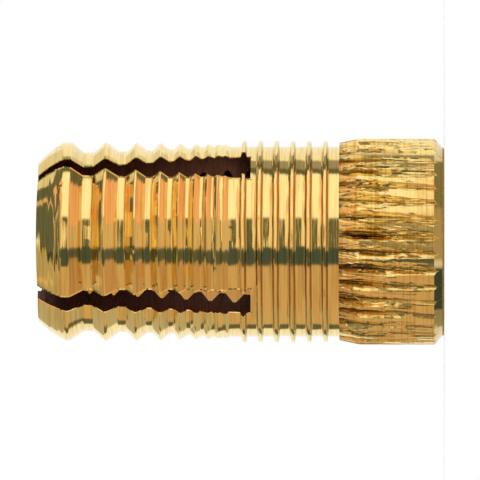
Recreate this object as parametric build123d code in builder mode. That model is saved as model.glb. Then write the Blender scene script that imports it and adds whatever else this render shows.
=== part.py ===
"""Brass wall plug: a turned sleeve with a knurled collar, barbed rings and four legs that a screw spreads."""

import os

from build123d import *

# Sleeve, in millimetres: it stands on its collar's end face, round the Z axis, with its tip up
overall_length = 25.0
bore_diameter = 8.376
wall_thickness = 1.672

# Knurled collar
collar_length = 6.45
collar_rise = 0.49
collar_end_chamfer = 0.62
mouth_chamfer_share = 0.55
collar_lead_length = 1.2
collar_lead_drop = 0.25
knurl_count = 37
knurl_start_angle = -0.6
knurl_lean_angle = 3.1
knurl_angle = 100
knurl_end_depth = 0.16
knurl_shoulder_depth = 0.46

# Barbed rings, steep towards the collar and sloping towards the tip
ring_count = 6
ring_pitch = 1.0
ring_rise = 0.375
ring_clearance = 0.83
ring_drop_share = 0.15
ring_slope_share = 0.32

# Ridges of the legs, which grow closer and shallower from the tip to the neck above the rings
ridge_count = 9
ridge_pitch_share = 0.8
ridge_tip_rise = 0.275
ridge_neck_rise = 0.135
ridge_tip_depth = 0.62
ridge_neck_depth = 0.06
ridge_tip_flank_share = 0.32
ridge_collar_flank_share = 0.43
neck_length = 1.15

# Nose above a flat land, and the four slots that part the legs, whose ends are set inwards
nose_land_length = 0.4
nose_length = 1.59
nose_drop = 1.155
tip_edge_chamfer = 0.15
slot_length = 13.13
slot_root_width = 1.9
x_slot_tip_width = 0.48
y_slot_tip_width = 0.98
leg_inset = 0.75

cut_overrun = 0.3

bore_radius = bore_diameter / 2
core_radius = bore_radius + wall_thickness
collar_radius = core_radius + collar_rise
ring_radius = core_radius + ring_rise
end_face_radius = collar_radius - collar_end_chamfer
mouth_chamfer = mouth_chamfer_share * (end_face_radius - bore_radius)
slot_root_height = overall_length - slot_length

# Heights of the ring crests, from the collar up
ring_heights = [collar_length + ring_clearance + i * ring_pitch for i in range(ring_count)]

# Heights of the ridge crests, from the tip down, at pitches that each are the same share of the one above
nose_height = overall_length - nose_length
first_crest_height = nose_height - nose_land_length / 2
ridge_zone_length = first_crest_height - ring_heights[-1] - neck_length
pitch_shares = [ridge_pitch_share**i for i in range(ridge_count - 1)]
ridge_pitches = [ridge_zone_length * share / sum(pitch_shares) for share in pitch_shares]
ridge_heights = [first_crest_height - sum(ridge_pitches[:i]) for i in range(ridge_count)]


def between(first, last, index, count):
    """Even steps from the first value to the last."""
    return first + (last - first) * index / (count - 1)


# Radii of the ridge crests, which fall from the tip to the neck
ridge_rises = [between(ridge_tip_rise, ridge_neck_rise, i, ridge_count) for i in range(ridge_count)]
crest_radii = [core_radius + rise for rise in ridge_rises]


def ring_points(crest_height):
    """One barb of the outline, upwards: foot of the steep face, crest and foot of the slope."""
    return [
        (core_radius, crest_height - ring_drop_share * ring_pitch),
        (ring_radius, crest_height),
        (core_radius, crest_height + ring_slope_share * ring_pitch),
    ]


def valley_points(index):
    """The valley below one ridge crest, upwards: the crest under it, then both ends of its flat floor."""
    upper, lower, pitch = ridge_heights[index], ridge_heights[index + 1], ridge_pitches[index]
    floor_radius = crest_radii[index] - between(ridge_tip_depth, ridge_neck_depth, index, ridge_count - 1)
    return [
        (crest_radii[index + 1], lower),
        (floor_radius, lower + ridge_tip_flank_share * pitch),
        (floor_radius, upper - ridge_collar_flank_share * pitch),
    ]


# The turned outline from the collar's end face up to the tip, and down the bore
tip_radius = crest_radii[0] - nose_drop
outline_points = [
    (bore_radius, 0),
    (collar_radius, 0),
    (collar_radius, collar_length - collar_lead_length),
    (collar_radius - collar_lead_drop, collar_length),
    (core_radius, collar_length),
]
for height in ring_heights:
    outline_points += ring_points(height)
outline_points.append((core_radius, ridge_heights[-1] - ridge_collar_flank_share * ridge_pitches[-1]))
for index in reversed(range(ridge_count - 1)):
    outline_points += valley_points(index)
outline_points += [
    (crest_radii[0], nose_height - nose_land_length),
    (crest_radii[0], nose_height),
    (tip_radius, overall_length),
    (bore_radius - leg_inset, overall_length),
    (bore_radius, slot_root_height),
]

# One groove of the knurl: a long, slightly leaning V, deeper at the shoulder than at the end face
groove_heights_and_depths = (
    (-cut_overrun, knurl_end_depth),
    (collar_length + cut_overrun, knurl_shoulder_depth),
)
groove_slope = Vector(0, 1).rotate(Axis.Z, -knurl_angle / 2)
with BuildPart() as knurl_groove:
    for height, depth in groove_heights_and_depths:
        half_width = (depth + cut_overrun) * groove_slope.X / groove_slope.Y
        turn = knurl_start_angle + knurl_lean_angle * height / collar_length
        with BuildSketch(Plane.XY.offset(height).rotated((0, 0, turn))):
            with BuildLine():
                Polyline(
                    (collar_radius - depth, 0),
                    (collar_radius + cut_overrun, half_width),
                    (collar_radius + cut_overrun, -half_width),
                    close=True,
                )
            make_face()
    loft()

with BuildPart() as plug_sleeve:
    # Turned body with its bore, which narrows where the legs are set inwards
    with BuildSketch(Plane.XZ):
        with BuildLine():
            Polyline(*outline_points, close=True)
        make_face()
    revolve(axis=Axis.Z)

    # Edges of the collar's end, of the mouth of the bore and of the tip
    end_edges = plug_sleeve.edges().filter_by(GeomType.CIRCLE).group_by(Axis.Z)[0].sort_by(SortBy.RADIUS)
    chamfer(end_edges[-1], collar_end_chamfer)
    chamfer(end_edges[0], mouth_chamfer)
    tip_edges = plug_sleeve.edges().filter_by(GeomType.CIRCLE).group_by(Axis.Z)[-1].sort_by(SortBy.RADIUS)
    chamfer(tip_edges[-1], tip_edge_chamfer)

    # Two crossing saw cuts make the four slots, which close towards the tip
    for plane, tip_width in ((Plane.YZ, x_slot_tip_width), (Plane.XZ, y_slot_tip_width)):
        cut_top_width = tip_width - (slot_root_width - tip_width) * cut_overrun / slot_length
        with BuildSketch(plane):
            with BuildLine():
                Polyline(
                    (-slot_root_width / 2, slot_root_height),
                    (slot_root_width / 2, slot_root_height),
                    (cut_top_width / 2, overall_length + cut_overrun),
                    (-cut_top_width / 2, overall_length + cut_overrun),
                    close=True,
                )
            make_face()
        extrude(amount=collar_radius, both=True, mode=Mode.SUBTRACT)

    # Nearly straight knurl round the collar
    with PolarLocations(0, knurl_count):
        add(knurl_groove.part, mode=Mode.SUBTRACT)

plug_sleeve.part.label = "plug_sleeve"

os.makedirs("parts", exist_ok=True)
export_step(plug_sleeve.part, "parts/plug_sleeve.step")
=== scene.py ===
"""Looks of the brass wall plug: its sleeve, its finishes and painted shade, a plain studio and the
photograph's camera.
"""

import math

import bmesh
import bpy
import numpy as np
from mathutils import Matrix, Vector


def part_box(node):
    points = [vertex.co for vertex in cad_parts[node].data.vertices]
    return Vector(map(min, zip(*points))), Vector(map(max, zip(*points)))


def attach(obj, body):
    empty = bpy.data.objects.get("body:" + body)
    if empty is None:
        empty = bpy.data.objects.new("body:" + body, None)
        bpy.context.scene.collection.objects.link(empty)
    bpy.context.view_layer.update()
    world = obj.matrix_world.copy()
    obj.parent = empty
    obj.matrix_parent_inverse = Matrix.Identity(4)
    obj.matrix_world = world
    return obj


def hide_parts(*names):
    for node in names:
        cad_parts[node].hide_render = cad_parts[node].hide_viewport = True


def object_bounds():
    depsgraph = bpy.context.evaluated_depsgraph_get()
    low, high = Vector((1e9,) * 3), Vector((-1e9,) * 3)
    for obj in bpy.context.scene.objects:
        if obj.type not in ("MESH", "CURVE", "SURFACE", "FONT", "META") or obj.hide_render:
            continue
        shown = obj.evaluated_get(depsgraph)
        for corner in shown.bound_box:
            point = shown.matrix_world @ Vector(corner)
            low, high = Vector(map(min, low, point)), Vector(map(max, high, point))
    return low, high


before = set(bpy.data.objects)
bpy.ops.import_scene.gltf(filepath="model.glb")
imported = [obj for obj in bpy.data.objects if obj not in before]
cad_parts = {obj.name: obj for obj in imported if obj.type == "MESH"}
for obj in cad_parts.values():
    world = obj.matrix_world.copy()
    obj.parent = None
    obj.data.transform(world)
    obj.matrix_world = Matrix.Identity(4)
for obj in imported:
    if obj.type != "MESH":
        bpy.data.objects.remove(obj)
cad_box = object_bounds()

# Lengths below are in millimetres, angles in degrees, and the sleeve stands on its collar round the Z axis
MM = 0.001
sleeve_low, sleeve_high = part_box("plug_sleeve")
overall_length = sleeve_high.z / MM
collar_radius = -sleeve_low.y / MM

# Knurled collar
collar_length = 6.45
end_chamfer = 0.62
lead_length = 1.2
lead_drop = 0.25
groove_count = 37
groove_half_angle = 50
groove_end_depth = 0.17
groove_shoulder_depth = 0.47
groove_least_depth = 0.02
groove_widest_share = 0.42
groove_first_angle = -58.5
groove_first_height = 1.0
groove_lean = 3.1
groove_floor_clearance = 0.01

# Torn metal of the knurl, in shares of a groove's pitch, depth and width, and pits in the lands
tear_end_share = 0.2
tear_shoulder_share = 0.7
tear_place_share = 0.05
tear_depth_share = 0.12
tear_width_share = 0.3
tear_wall_share = 2.0
pit_depth = 0.08
pit_level = 0.5

# Streaks of the torn metal, with the share that finer tears have in them
streak_knots = 4
streak_limit = 1.8
fine_knots = 24
fine_groove_share = 0.15
fine_edge_share = 0.6
fine_wall_share = 0.2
fine_land_share = 0.3

# Barbed rings
core_radius = 5.86
ring_count = 6
ring_pitch = 1.0
ring_rise = 0.375
ring_clearance = 0.83
ring_land = 0.23
ring_land_drop = 0.022
ring_drop = 0.14
ring_slope = 0.21
ring_fillet_rise = 0.035
ring_fillet_length = 0.21

# Ridges of the legs, from the tip down, and the nose above them
ridge_count = 9
ridge_pitch_share = 0.8
ridge_land_share = 0.06
ridge_tip_rise = 0.275
ridge_neck_rise = 0.135
ridge_tip_depth = 0.62
ridge_neck_depth = 0.06
ridge_tip_flank_share = 0.32
ridge_collar_flank_share = 0.43
neck_length = 1.15
nose_crest_drop = 1.79
nose_drop = 1.2
nose_bulge = 0.09
nose_ripple = 0.009
nose_ripple_rate = 2.3
nose_steps = 10
tip_chamfer = 0.12
nose_lands = (0.5, 0.4, 0.14, 0.45)

# Slots at +X, +Y, -X and -Y, and the threaded bore, which narrows between the legs
slot_length = 13.13
slot_root_widths = (2.15, 1.82, 2.15, 1.82)
slot_tip_widths = (0.48, 0.98, 0.48, 0.98)
burr_height = 0.085
burr_width = 0.09
burr_crest_share = 0.3
burr_uneven_share = 0.3
burr_rates = (7, 17)
thread_pitch = 1.5
thread_start = 0.36
thread_minor_radius = 4.188
thread_major_radius = 5.0
thread_phases = (0, 0.25, 0.5625, 0.6875, 1)
mouth_radius = 5.04
leg_inset = 0.75
leg_tilt = 2.5
leg_bend_length = 4.0

# Wear of the turned surface
wear_clearance = 0.1
wear_depth = 0.5
wave_count = 16
wave_height = 0.002
wave_turns = (2, 26)
wave_rate = 6
wave_rise_limit = 0.005
wave_tip_clearance = 1.0
nick_count = 70
nick_least_rise = 0.1
nick_depth = 0.035
nick_least_share = 0.3
nick_size = 0.13

# Fineness of the mesh
corner_ease = 0.055
corner_ease_share = 0.4
columns_leg = 46
columns_slot = 6
columns_bore_leg = 24
columns_bore_slot = 4
columns_wall = 5
columns_land = 6
rows_chamfer = 4
rows_knurl = 42
spare_turns = 2
bore_rounds = 6
weld_distance = 1e-5
sliver_length = 1e-6
crease_angle = 8
knurl_crease_angle = 28

# Photograph's camera, whose image has the tip at its left
camera_azimuth = 38.6
camera_elevation = -1.2
camera_distance = 560
camera_aim_height = 12.6
camera_aim_rise = 0.1
camera_clip_ratio = 100
image_width = 29.63

# Finishes and painted shade. The walls of the two slots that face the camera are duller than those of the
# far ones and carry painted shade, a darker colour
TURNED, KNURLED, SAWN, SHADED_SAWN, SHADED_BORE = range(5)
slot_wall_looks = (SHADED_SAWN, SAWN, SAWN, SHADED_SAWN)

slot_root = overall_length - slot_length
rng = np.random.default_rng(7)


class Skin:
    """Points and faces of one mesh, put together from grids and from strips between chains of points."""

    def __init__(self):
        self.points = []
        self.faces = []
        self.looks = []

    def add(self, points):
        """Keeps an array of points and gives their numbers in the same layout."""
        first = len(self.points)
        self.points.extend(points.reshape(-1, 3).tolist())
        return np.arange(first, len(self.points)).reshape(points.shape[:-1])

    def grid(self, numbers, look):
        """Quads between neighbouring rows and columns."""
        corners = numbers[:-1, :-1], numbers[:-1, 1:], numbers[1:, 1:], numbers[1:, :-1]
        quads = np.stack(corners, axis=-1).reshape(-1, 4).tolist()
        self.faces.extend(quads)
        self.looks.extend([look] * len(quads))

    def strip(self, first, second, first_marks, second_marks, look):
        """Triangles between two chains, each step on the chain whose next mark comes first."""
        i = j = 0
        while i + 1 < len(first) or j + 1 < len(second):
            on_first = j + 1 == len(second)
            if not on_first and i + 1 < len(first):
                on_first = first_marks[i + 1] <= second_marks[j + 1]
            if on_first:
                self.faces.append([first[i], first[i + 1], second[j]])
                i += 1
            else:
                self.faces.append([first[i], second[j + 1], second[j]])
                j += 1
            self.looks.append(look)

    def bearings(self, numbers):
        """Angles of points round the axis, in a row that doesn't jump."""
        x, y, _ = np.array([self.points[number] for number in numbers]).T
        return np.unwrap(np.arctan2(y, x))

    def ring_strip(self, ring, other, look):
        """Triangles between two closed rings, the second of which ends on its first point."""
        marks = self.bearings(other)
        gaps = np.angle(np.exp(1j * (self.bearings(ring) - marks[0])))
        ring = np.roll(ring, -np.argmin(np.abs(gaps)))
        own_marks = self.bearings(np.append(ring, ring[0]))
        own_marks += 2 * np.pi * np.round((marks[0] - own_marks[0]) / (2 * np.pi))
        self.strip(np.append(ring, ring[0]), other, own_marks, marks, look)


def polar(angles, radii, heights):
    """Points in space from angles in radians."""
    angles, radii, heights = np.broadcast_arrays(angles, radii, heights)
    return np.stack([radii * np.cos(angles), radii * np.sin(angles), heights], axis=-1)


def slot_half_width(slot, heights):
    """Half the width of one slot, which closes towards the tip."""
    share = np.clip((heights - slot_root) / slot_length, 0, 1)
    root, tip = slot_root_widths[slot % 4], slot_tip_widths[slot % 4]
    return (root + (tip - root) * share) / 2


def eased(corners):
    """The corners of an outline, each cut to three points of a small curve."""
    corners = np.array(corners)
    points = [corners[0]]
    for before, corner, after in zip(corners, corners[1:], corners[2:]):
        back, ahead = before - corner, after - corner
        back *= min(corner_ease / np.linalg.norm(back), corner_ease_share)
        ahead *= min(corner_ease / np.linalg.norm(ahead), corner_ease_share)
        points += [corner + back, corner + (back + ahead) / 4, corner + ahead]
    points.append(corners[-1])
    return np.array(points)


def ring_corners():
    """Heights and radii of the barbed rings, from the shoulder up."""
    corners = []
    for index in range(ring_count):
        crest = collar_length + ring_clearance + index * ring_pitch
        corners += [
            (crest - ring_drop, core_radius),
            (crest - ring_land / 3, core_radius + ring_rise),
            (crest + ring_land * 2 / 3, core_radius + ring_rise - ring_land_drop),
            (crest + ring_slope, core_radius + ring_fillet_rise),
            (crest + ring_slope + ring_fillet_length, core_radius),
        ]
    return corners


def ridge_corners(nose_land):
    """Heights and radii of the ridges and the nose, from the neck up."""
    shares = ridge_pitch_share ** np.arange(ridge_count - 1)
    neck = collar_length + ring_clearance + (ring_count - 1) * ring_pitch + neck_length
    first_crest = overall_length - nose_crest_drop
    pitches = (first_crest - neck) * shares / shares.sum()
    heights = first_crest - np.concatenate([[0], np.cumsum(pitches)])
    crests = core_radius + np.linspace(ridge_tip_rise, ridge_neck_rise, ridge_count)
    floors = crests[:-1] - np.linspace(ridge_tip_depth, ridge_neck_depth, ridge_count - 1)
    corners = [(heights[-1] - ridge_collar_flank_share * pitches[-1], core_radius)]
    for i in reversed(range(ridge_count - 1)):
        land = ridge_land_share * pitches[i]
        corners += [
            (heights[i + 1] - land / 2, crests[i + 1]),
            (heights[i + 1] + land / 2, crests[i + 1]),
            (heights[i + 1] + ridge_tip_flank_share * pitches[i], floors[i]),
            (heights[i] - ridge_collar_flank_share * pitches[i], floors[i]),
        ]
    tip_radius = crests[0] - nose_drop
    nose_low = first_crest + nose_land / 2
    nose_high = overall_length - tip_chamfer
    corners += [(first_crest - nose_land / 2, crests[0]), (nose_low, crests[0])]
    for step in range(1, nose_steps):
        share = step / nose_steps
        swell = nose_bulge * 4 * share * (1 - share) + nose_ripple * math.sin(nose_ripple_rate * step)
        height = nose_low + share * (nose_high - nose_low)
        corners.append((height, crests[0] - share * (nose_drop - tip_chamfer) + swell))
    corners += [(nose_high, tip_radius + tip_chamfer), (overall_length, tip_radius)]
    return corners


def edge_columns(rows, slot, side, cut):
    """Angles and radii beside one slot: wall, top of the saw's burr and outer surface."""
    heights, radii = rows[:, :1], rows[:, 1:]
    insets = np.array([0, burr_crest_share, 1]) * burr_width
    number = slot % 4
    uneven = np.sin(burr_rates[0] * heights + 2 * number) * np.sin(burr_rates[1] * heights + number)
    rise = burr_height * cut * (1 - burr_uneven_share * (1 - uneven))
    radii = radii + np.array([0, 1, 0]) * rise
    angles = np.radians(90 * slot) + side * np.arcsin((slot_half_width(slot, heights) + insets) / radii)
    return angles, radii


def leg_columns(rows, leg, cut):
    """Angles and radii of the outer surface between two slots."""
    low_angles, low_radii = edge_columns(rows, leg, 1, cut)
    high_angles, high_radii = edge_columns(rows, leg + 1, -1, cut)
    shares = np.arange(1, columns_leg) / columns_leg
    middle = low_angles[:, -1:] + shares * (high_angles[:, -1:] - low_angles[:, -1:])
    angles = np.hstack([low_angles, middle, high_angles[:, ::-1]])
    radii = np.hstack([low_radii, np.repeat(rows[:, 1:], columns_leg - 1, axis=1), high_radii[:, ::-1]])
    return angles, radii


def thread_radius(angles, heights):
    """Radius of the tapped bore, with its countersunk mouth and its narrowing between the legs."""
    phase = ((heights - thread_start) / thread_pitch - angles / (2 * np.pi)) % 1
    minor, major = thread_minor_radius, thread_major_radius
    radii = np.interp(phase, thread_phases, [minor, minor, major, major, minor])
    radii = radii - leg_inset * np.clip((heights - slot_root) / slot_length, 0, 1)
    return np.maximum(radii, mouth_radius - heights)


def bore_grid(low, high, slot_before, slot_after):
    """Points of the bore between two slots, or across one slot, in rows that follow the thread."""
    turns = int(overall_length / thread_pitch) + 1
    turn_numbers = np.arange(-spare_turns, turns + spare_turns)
    phases = np.add.outer(turn_numbers, thread_phases[:-1]).reshape(-1, 1)
    columns = columns_bore_leg if slot_after > slot_before else columns_bore_slot
    side = 1 if slot_after > slot_before else -1
    shares = np.linspace(0, 1, columns + 1)
    start, end = math.pi / 2 * slot_before, math.pi / 2 * slot_after
    angles = start + shares * (end - start)
    for _ in range(bore_rounds):
        heights = thread_start + (phases + angles / (2 * np.pi)) * thread_pitch
        heights = np.clip(heights, low, high)
        radii = thread_radius(angles, heights)
        first = start + side * np.arcsin(slot_half_width(slot_before, heights) / radii)
        last = end - side * np.arcsin(slot_half_width(slot_after, heights) / radii)
        angles = first + shares * (last - first)
    return polar(angles, radii, heights)


def streak(heights, fine_share):
    """Unevenness that runs along a groove in long streaks, with some finer tears."""
    long_places = np.linspace(0, collar_length, streak_knots)
    fine_places = np.linspace(0, collar_length, fine_knots)
    uneven = np.interp(heights, long_places, rng.normal(size=streak_knots))
    uneven = uneven + fine_share * np.interp(heights, fine_places, rng.normal(size=fine_knots))
    return np.clip(uneven, -streak_limit, streak_limit)


def knurl_grid():
    """Points of the collar, from its end face to its shoulder, with a torn, nearly straight knurl."""
    chamfer_heights = np.linspace(0, end_chamfer, rows_chamfer, endpoint=False)
    heights = np.concatenate([chamfer_heights, np.linspace(end_chamfer, collar_length, rows_knurl)])
    lead = np.clip((heights - collar_length + lead_length) / lead_length, 0, 1)
    surface = np.minimum(collar_radius - end_chamfer + heights, collar_radius) - lead * lead_drop
    share = heights / collar_length
    tear = tear_end_share + (tear_shoulder_share - tear_end_share) * share
    depths = groove_end_depth + (groove_shoulder_depth - groove_end_depth) * share
    spread = math.tan(math.radians(groove_half_angle)) / collar_radius
    lean = math.radians(groove_lean) * (heights - groove_first_height) / collar_length
    pitch = 2 * np.pi / groove_count
    widest = groove_widest_share * pitch

    # Middle line, floor and both edges of each groove
    middles, floors, lows, highs = [], [], [], []
    for index in range(groove_count):
        place = math.radians(groove_first_angle) + index * pitch + lean
        middle = place + tear_place_share * pitch * tear * streak(heights, fine_groove_share)
        depth = depths * (1 + tear_depth_share * tear * streak(heights, fine_groove_share))
        reach = np.clip(depth - (collar_radius - surface), groove_least_depth, None) * spread
        low_reach = reach * (1 + tear_width_share * tear * streak(heights, fine_edge_share))
        high_reach = reach * (1 + tear_width_share * tear * streak(heights, fine_edge_share))
        middles.append(middle)
        floors.append(np.minimum(collar_radius - depth, surface))
        lows.append(middle - np.minimum(low_reach, widest))
        highs.append(middle + np.minimum(high_reach, widest))

    angles, radii = [], []

    def wall(middle, floor, edge, parts):
        """Columns on one wall of a groove, whose torn metal lies in streaks."""
        for part in parts:
            angles.append(middle + part * (edge - middle))
            uneven = part * (1 - part) * tear_wall_share * tear * streak(heights, fine_wall_share)
            radii.append(floor + (part + uneven) * (surface - floor))

    # Columns of each groove's one wall, of the land after it and of the next groove's other wall
    parts = np.linspace(0, 1, columns_wall + 2)[1:-1]
    for index in range(groove_count):
        after = (index + 1) % groove_count
        turn = 2 * np.pi * (index + 1 == groove_count)
        angles.append(middles[index])
        radii.append(floors[index])
        wall(middles[index], floors[index], highs[index], parts)
        for part in np.linspace(0, 1, columns_land + 2):
            angles.append(highs[index] + part * (lows[after] + turn - highs[index]))
            level = pit_level * (1 - abs(2 * part - 1))
            pit = np.clip(streak(heights, fine_land_share) - level, 0, None)
            radii.append(surface - pit_depth * tear * pit)
        wall(middles[after] + turn, floors[after], lows[after] + turn, parts[::-1])
    angles = np.array(angles).T
    radii = np.maximum(np.array(radii).T, core_radius + groove_floor_clearance)
    radii = np.minimum(radii, surface[:, None])
    angles = np.hstack([angles, angles[:, :1] + 2 * np.pi])
    return polar(angles, np.hstack([radii, radii[:, :1]]), heights[:, None])


def sleeve_skin():
    """The whole sleeve as one closed skin."""
    skin = Skin()
    core_rings, mouth_rings = [], []
    for leg in range(4):
        rows = eased([(collar_length, core_radius)] + ring_corners() + ridge_corners(nose_lands[leg]))
        foot_rows = [(slot_root - burr_width, core_radius), (slot_root, core_radius)]
        lower = np.vstack([rows[rows[:, 0] < foot_rows[0][0]], foot_rows])
        upper = np.vstack([foot_rows[1:], rows[rows[:, 0] > slot_root]])
        cut = np.zeros((len(lower), 1))
        cut[-1] = 1

        # Outer surface below the slot and the leg, and the leg above
        edge_angles, edge_radii = edge_columns(lower, leg, 1, cut)
        across = np.linspace(-1, 1, columns_slot + 1)
        angles = np.radians(90 * leg) + across * (edge_angles[:, :1] - np.radians(90 * leg))
        below_slot = skin.add(polar(angles, edge_radii[:, :1], lower[:, :1]))
        below_leg = skin.add(polar(*leg_columns(lower, leg, cut), lower[:, :1]))
        outside = skin.add(polar(*leg_columns(upper, leg, 1), upper[:, :1]))
        for numbers in (below_slot, below_leg, outside):
            skin.grid(numbers, TURNED)
        core_rings += [below_slot[0, :-1], below_leg[0, :-1]]

        # Bore below the slot and the leg, and inside the leg
        bore_slot = skin.add(bore_grid(0, slot_root, leg, leg))
        bore_leg = skin.add(bore_grid(0, slot_root, leg, leg + 1))
        inside = skin.add(bore_grid(slot_root, overall_length, leg, leg + 1))
        for numbers in (bore_slot, bore_leg, inside):
            skin.grid(numbers, SHADED_BORE)
        mouth_rings += [bore_slot[0, :-1], bore_leg[0, :-1]]

        # Walls and root of the slot, and end of the leg
        heights = np.array(skin.points)[:, 2]
        for side, slot in ((0, leg), (-1, leg + 1)):
            outer, inner = outside[:, side], inside[:, side]
            skin.strip(outer, inner, heights[outer], heights[inner], slot_wall_looks[slot % 4])
        ends = ((below_slot[-1], bore_slot[-1], SAWN), (outside[-1], inside[-1], TURNED))
        for outer, inner, look in ends:
            skin.strip(outer, inner, np.linspace(0, 1, len(outer)), np.linspace(0, 1, len(inner)), look)

    collar = skin.add(knurl_grid())
    skin.grid(collar[:rows_chamfer + 1], TURNED)
    skin.grid(collar[rows_chamfer:], KNURLED)
    skin.ring_strip(np.concatenate(core_rings), collar[-1], TURNED)
    skin.ring_strip(np.concatenate(mouth_rings), collar[0], TURNED)
    return skin


def worn(points):
    """The turned surface made slightly wavy, with nicks in its crests."""
    x, y, heights = points.T
    bearings, radii = np.arctan2(y, x), np.hypot(x, y)
    wave = np.zeros(len(points))
    for _ in range(wave_count):
        turns = rng.integers(*wave_turns)
        rate = rng.normal() * wave_rate
        wave += wave_height * np.sin(turns * bearings + rate * heights + rng.uniform(0, 2 * np.pi))
    turned = (heights > collar_length + wear_clearance) & (radii > core_radius - wear_depth)
    crests = np.flatnonzero(turned & (radii > core_radius + nick_least_rise))
    drop = np.zeros(len(points))
    for middle in rng.choice(crests, nick_count):
        away = np.linalg.norm(points - points[middle], axis=1)
        depth = nick_depth * rng.uniform(nick_least_share, 1)
        drop = np.maximum(drop, depth * np.exp(-((away / nick_size) ** 2)))
    scale = np.where(turned, (radii + np.minimum(wave, wave_rise_limit) - drop) / radii, 1)
    shift = np.where(turned & (heights < overall_length - wave_tip_clearance), wave, 0)
    return np.stack([x * scale, y * scale, heights + shift], axis=-1)


def tilted(points):
    """The legs set inwards, which brings the sides of each leg a little lower than its middle."""
    x, y, heights = points.T
    bearings = np.arctan2(y, x) % (np.pi / 2) - np.pi / 4
    share = np.clip((heights - slot_root) / leg_bend_length, 0, 1)
    lower = math.tan(math.radians(leg_tilt)) * share * np.hypot(x, y) * (1 - np.cos(bearings))
    return np.stack([x, y, heights - lower], axis=-1)


def sleeve_object(looks):
    """The sleeve as a mesh object in metres."""
    skin = sleeve_skin()
    points = np.clip(tilted(worn(np.array(skin.points))) * MM, cad_box[0], cad_box[1])
    mesh = bpy.data.meshes.new("plug_sleeve_fine")
    mesh.from_pydata(points.tolist(), [], skin.faces)
    mesh.polygons.foreach_set("material_index", skin.looks)
    for material in looks:
        mesh.materials.append(material)
    shape = bmesh.new()
    shape.from_mesh(mesh)
    bmesh.ops.remove_doubles(shape, verts=shape.verts, dist=weld_distance * MM)
    bmesh.ops.dissolve_degenerate(shape, edges=shape.edges, dist=sliver_length * MM)
    bmesh.ops.recalc_face_normals(shape, faces=shape.faces)
    for face in shape.faces:
        face.smooth = True
    for edge in shape.edges:
        knurled = all(face.material_index == KNURLED for face in edge.link_faces)
        limit = knurl_crease_angle if knurled else crease_angle
        edge.smooth = edge.calc_face_angle(0) < math.radians(limit)
    shape.to_mesh(mesh)
    shape.free()
    piece = bpy.data.objects.new("plug_sleeve_fine", mesh)
    bpy.context.scene.collection.objects.link(piece)
    return piece


# Colours of the brass, and how it tarnishes, darkens in its depths, takes painted shade and shines
brass_colour = (0.95, 0.73, 0.3)
sawn_colour = (0.85, 0.6, 0.28)
# Painted shade: a darker copy of the sawn colour, for the walls of the two slots that face the camera
shaded_sawn_colour = (0.42, 0.26, 0.24)
# Painted shade: the tapped bore is made very dark for the shade inside it
shaded_tapped_colour = (0.18, 0.1, 0.065)
# The darker colour, used in the depths of the knurl's grooves and as painted shade on faces that look down
depth_and_painted_shade_colour = (0.27, 0.18, 0.08)
depth_dark_radii_knurl = (5.9, 6.16)
# Painted shade on faces that look down, such as the collar side of the rings, by the Z part of their normal
painted_shade_facing = (-0.85, -0.6)
tarnish_shares = (0.86, 0.78, 0.66)
tarnish_levels = (0.36, 0.52)
tarnish_scale = 1.3
tarnish_detail = 4
line_detail = 3
grain_rate = 9
grain_detail = 3
gloss_shares = (0.7, 1.3)


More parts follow.
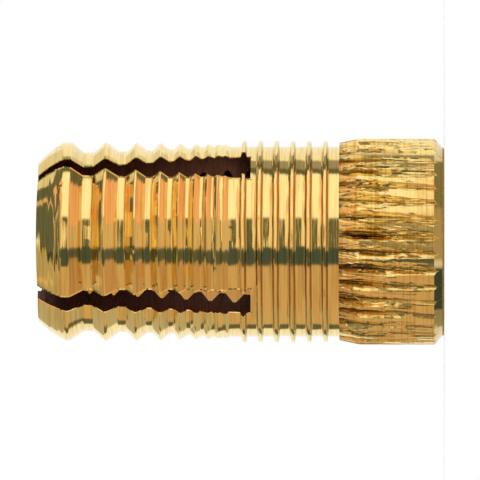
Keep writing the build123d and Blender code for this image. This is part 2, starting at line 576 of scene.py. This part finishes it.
def brass(name, colour, roughness, line_rate, line_height, grain_height, depth_dark_radii=None, painted_shade_below=False):
    """Brass with marks round the axis, a fine grain, tarnish, and a darker colour in its depths or painted
    shade underneath.
    """
    material = bpy.data.materials.new(name)
    material.use_nodes = True
    nodes, links = material.node_tree.nodes, material.node_tree.links
    shader = nodes["Principled BSDF"]
    shader.inputs["Metallic"].default_value = 1
    place = nodes.new("ShaderNodeTexCoord")

    def scaled(source, factors):
        """A vector multiplied part by part."""
        node = nodes.new("ShaderNodeVectorMath")
        node.operation = "MULTIPLY"
        node.inputs[1].default_value = factors
        links.new(source, node.inputs[0])
        return node.outputs[0]

    def noise(source, scale, detail):
        """A noise texture's grey."""
        node = nodes.new("ShaderNodeTexNoise")
        node.inputs["Scale"].default_value = scale
        node.inputs["Detail"].default_value = detail
        links.new(source, node.inputs["Vector"])
        return node.outputs["Fac"]

    def bumped(grey, height, normal=None):
        """A normal pushed about by a grey."""
        node = nodes.new("ShaderNodeBump")
        node.inputs["Distance"].default_value = height * MM
        links.new(grey, node.inputs["Height"])
        if normal:
            links.new(normal, node.inputs["Normal"])
        return node.outputs["Normal"]

    def ranged(value, low, high, to_low=0, to_high=1):
        """A value carried from one range to another."""
        node = nodes.new("ShaderNodeMapRange")
        node.inputs["From Min"].default_value = low
        node.inputs["From Max"].default_value = high
        node.inputs["To Min"].default_value = to_low
        node.inputs["To Max"].default_value = to_high
        links.new(value, node.inputs["Value"])
        return node.outputs["Result"]

    def darkened(tone, undarkened):
        """A colour that turns darker where the factor is low: darker depths, or painted shade."""
        node = nodes.new("ShaderNodeMix")
        node.data_type = "RGBA"
        node.inputs["A"].default_value = (*depth_and_painted_shade_colour, 1)
        links.new(undarkened, node.inputs["Factor"])
        links.new(tone, node.inputs["B"])
        return node.outputs["Result"]

    # Places wound round the axis: bearing as a unit vector, and height at the rate of the marks
    flat_place = scaled(place.outputs["Object"], (1, 1, 0))
    bearing = nodes.new("ShaderNodeVectorMath")
    bearing.operation = "NORMALIZE"
    links.new(flat_place, bearing.inputs[0])
    wound = nodes.new("ShaderNodeVectorMath")
    wound.operation = "ADD"
    links.new(bearing.outputs[0], wound.inputs[0])
    links.new(scaled(place.outputs["Object"], (0, 0, line_rate / MM)), wound.inputs[1])
    lines = noise(wound.outputs[0], 1, line_detail)
    grain = noise(place.outputs["Object"], grain_rate / MM, grain_detail)
    links.new(bumped(grain, grain_height, bumped(lines, line_height)), shader.inputs["Normal"])

    tarnish = nodes.new("ShaderNodeValToRGB")
    tarnished = [part * share for part, share in zip(colour, tarnish_shares)]
    for element, level, tone in zip(tarnish.color_ramp.elements, tarnish_levels, (tarnished, colour)):
        element.position = level
        element.color = (*tone, 1)
    links.new(noise(wound.outputs[0], tarnish_scale, tarnish_detail), tarnish.inputs["Fac"])
    tone = tarnish.outputs["Color"]
    # Darker towards the axis, between the given radii
    if depth_dark_radii:
        radius = nodes.new("ShaderNodeVectorMath")
        radius.operation = "LENGTH"
        links.new(flat_place, radius.inputs[0])
        tone = darkened(tone, ranged(radius.outputs["Value"], depth_dark_radii[0] * MM, depth_dark_radii[1] * MM))
    # Painted shade on faces that look down
    if painted_shade_below:
        geometry = nodes.new("ShaderNodeNewGeometry")
        facing = nodes.new("ShaderNodeSeparateXYZ")
        links.new(geometry.outputs["Normal"], facing.inputs[0])
        tone = darkened(tone, ranged(facing.outputs["Z"], *painted_shade_facing))
    links.new(tone, shader.inputs["Base Color"])
    gloss = ranged(lines, 0, 1, roughness * gloss_shares[0], roughness * gloss_shares[1])
    links.new(gloss, shader.inputs["Roughness"])
    return material


def camera_axes():
    """Right, up and back of the photograph's camera."""
    azimuth, elevation = math.radians(camera_azimuth), math.radians(camera_elevation)
    level = math.cos(elevation)
    back = Vector((math.sin(azimuth) * level, -math.cos(azimuth) * level, math.sin(elevation)))
    up = Vector((math.cos(azimuth), math.sin(azimuth), 0))
    return up.cross(back), up, back


def photo_camera():
    """A long lens on the sleeve's middle, turned so that the sleeve lies level with its tip at the left."""
    right, up, back = camera_axes()
    aim = Vector((0, 0, camera_aim_height)) + up * camera_aim_rise
    place = (aim + back * camera_distance) * MM
    camera = bpy.data.objects.new("camera", bpy.data.cameras.new("camera"))
    camera.data.angle = 2 * math.atan(image_width / 2 / camera_distance)
    camera.data.clip_start = camera_distance * MM / camera_clip_ratio
    camera.data.clip_end = camera_distance * MM * camera_clip_ratio
    camera.matrix_world = Matrix.Translation(place) @ Matrix((right, up, back)).transposed().to_4x4()
    bpy.context.scene.collection.objects.link(camera)
    bpy.context.scene.camera = camera


# Colours of the studio's cards
white = (1.0, 1.0, 0.95)
key = (1.12, 1.12, 1.0)
cream = (1.0, 0.85, 0.6)
peach = (1.0, 0.7, 0.48)
coral = (0.95, 0.52, 0.31)
straw = (0.8, 0.76, 0.6)
gold = (0.72, 0.53, 0.33)
tan = (0.64, 0.45, 0.27)
sand = (0.61, 0.49, 0.32)
clay = (0.54, 0.33, 0.18)
flax = (0.52, 0.47, 0.34)
ochre = (0.5, 0.42, 0.25)
umber = (0.46, 0.33, 0.22)
khaki = (0.42, 0.39, 0.28)
dim = (0.36, 0.33, 0.28)
moss = (0.32, 0.31, 0.18)
loam = (0.16, 0.16, 0.11)
olive = (0.13, 0.14, 0.09)
pine = (0.13, 0.15, 0.12)
soot = (0.11, 0.12, 0.10)
dark = (0.07, 0.10, 0.10)
black = (0.05, 0.06, 0.06)


def level_bands(key_light=key, middle_light=gold, low_light=tan):
    """Bands of the cards at about the sleeve's own level."""
    return [(-180, white), (-117, dim), (-100, olive), (-90, key_light), (-28, middle_light), (7, dark),
            (28, low_light), (120, olive), (133, white)]


# Light of the cards by bearing from the camera, turning down in the image
foot_bands = [(-180, white), (-58, moss), (-21, sand), (11, white), (16, dark), (46, khaki), (64, white)]
mat_bands = [(-180, straw), (-115, loam), (-90, coral), (-28, gold), (10, soot), (27, clay), (85, flax)]
canopy_bands = [(-180, white), (-140, pine), (30, black), (50, ochre), (140, white)]
lath_bands = [(-180, white), (-140, gold), (140, white)]

# Cards of the studio, rings round the sleeve that only its metal sees: distances from the axis and heights
card_rise = 0.05
mouth_card_rise = 0.02
axis_gap = 0.1
studio_cards = {
    # Painted shade: a dark card under the bore, standing for the shade on the floor inside it
    "shade_card_mouth": ([(axis_gap, mouth_card_rise), (5, mouth_card_rise)], [(-180, dark)]),
    "card_foot": ([(5.85, card_rise), (7, card_rise)], foot_bands),
    "card_mat": ([(7, card_rise), (45, card_rise)], mat_bands),
    "card_apron": ([(45, card_rise), (200, card_rise)], level_bands()),
    "card_wall": ([(200, card_rise), (800, card_rise), (800, 100)], level_bands(middle_light=olive)),
    "card_dado": ([(800, 100), (800, 215)], level_bands(middle_light=cream)),
    "card_frieze": ([(800, 215), (800, 300)], level_bands(peach, cream, umber)),
    "card_valance": ([(800, 300), (700, 640), (635, 757)], mat_bands),
    "card_canopy": ([(635, 757), (538, 932)], canopy_bands),
    "card_lath": ([(538, 932), (495, 1002)], lath_bands),
    "card_ceiling": ([(495, 1002), (axis_gap, 1200)], canopy_bands),
}
card_steps = 96
card_blend = 1.0
floor_half = 3000


def card_light(name, bands):
    """Light in bands by bearing from the camera."""
    material = bpy.data.materials.new(name)
    material.use_nodes = True
    nodes, links = material.node_tree.nodes, material.node_tree.links
    nodes.remove(nodes["Principled BSDF"])
    _, up, back = camera_axes()
    place = nodes.new("ShaderNodeTexCoord")
    bearing = nodes.new("ShaderNodeMath")
    bearing.operation = "ARCTAN2"
    for axis, socket in zip((-up, Vector((back.x, back.y, 0))), bearing.inputs):
        dot = nodes.new("ShaderNodeVectorMath")
        dot.operation = "DOT_PRODUCT"
        dot.inputs[1].default_value = axis
        links.new(place.outputs["Object"], dot.inputs[0])
        links.new(dot.outputs["Value"], socket)
    share = nodes.new("ShaderNodeMapRange")
    share.inputs["From Min"].default_value = -math.pi
    share.inputs["From Max"].default_value = math.pi
    links.new(bearing.outputs[0], share.inputs["Value"])
    ramp = nodes.new("ShaderNodeValToRGB")
    ends = [start for start, _ in bands[1:]] + [180]
    stops = []
    for (start, colour), end in zip(bands, ends):
        stops += [(start + card_blend, colour), (end - card_blend, colour)]
    elements = ramp.color_ramp.elements
    while len(elements) < len(stops):
        elements.new(1)
    for element, (degrees, colour) in zip(elements, stops):
        element.position = (degrees + 180) / 360
        element.color = (*colour, 1)
    links.new(share.outputs["Result"], ramp.inputs["Fac"])
    light = nodes.new("ShaderNodeEmission")
    links.new(ramp.outputs["Color"], light.inputs["Color"])
    links.new(light.outputs[0], nodes["Material Output"].inputs["Surface"])
    material.cycles.emission_sampling = "NONE"
    return material


def studio_card(name, profile, bands):
    """One ring of cards, hidden from all but reflections."""
    turn = np.linspace(0, 2 * np.pi, card_steps + 1)
    distances, heights = np.array(profile).T
    skin = Skin()
    skin.grid(skin.add(polar(turn, distances[:, None], heights[:, None])), 0)
    mesh = bpy.data.meshes.new(name)
    mesh.from_pydata((np.array(skin.points) * MM).tolist(), [], skin.faces)
    mesh.materials.append(card_light(name, bands))
    card = bpy.data.objects.new(name, mesh)
    bpy.context.scene.collection.objects.link(card)
    card.visible_camera = False
    card.visible_diffuse = False
    card.visible_transmission = False
    card.visible_shadow = False


def studio_world():
    """Plain white light from all round."""
    world = bpy.data.worlds.new("studio")
    bpy.context.scene.world = world
    world.use_nodes = True
    world.node_tree.nodes["Background"].inputs["Color"].default_value = (1, 1, 1, 1)


def studio_floor():
    """A plain white floor, which keeps the sleeve's shadow."""
    half = floor_half * MM
    corners = [(-half, -half, 0), (half, -half, 0), (half, half, 0), (-half, half, 0)]
    mesh = bpy.data.meshes.new("floor")
    mesh.from_pydata(corners, [], [(0, 1, 2, 3)])
    floor = bpy.data.objects.new("floor", mesh)
    bpy.context.scene.collection.objects.link(floor)
    material = bpy.data.materials.new("white_floor")
    material.use_nodes = True
    shader = material.node_tree.nodes["Principled BSDF"]
    shader.inputs["Base Color"].default_value = (1, 1, 1, 1)
    shader.inputs["Roughness"].default_value = 1
    shader.inputs["Specular IOR Level"].default_value = 0
    mesh.materials.append(material)


sleeve = sleeve_object([
    # The turned brass takes painted shade on faces that look down, such as the collar side of the rings
    brass("turned_brass", brass_colour, roughness=0.09, line_rate=6, line_height=0.01, grain_height=0.0004,
          painted_shade_below=True),
    # The knurled brass turns darker towards the floors of its grooves
    brass("knurled_brass", brass_colour, roughness=0.18, line_rate=5, line_height=0.004, grain_height=0.0015,
          depth_dark_radii=depth_dark_radii_knurl),
    brass("sawn_brass", sawn_colour, roughness=0.2, line_rate=4, line_height=0.006, grain_height=0.003),
    # Painted shade: a darker copy of the sawn brass on the walls of the slots that face the camera
    brass("shaded_sawn_brass", shaded_sawn_colour, roughness=0.28, line_rate=4, line_height=0.006, grain_height=0.003),
    # Painted shade: the tapped bore in a very dark brass, for the shade inside it
    brass("shaded_tapped_brass", shaded_tapped_colour, roughness=0.3, line_rate=3, line_height=0.002, grain_height=0.0005),
])
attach(sleeve, "root")
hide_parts("plug_sleeve")
studio_floor()
studio_world()
for name, (profile, bands) in studio_cards.items():
    studio_card(name, profile, bands)
photo_camera()
bpy.context.scene.view_settings.view_transform = "Standard"
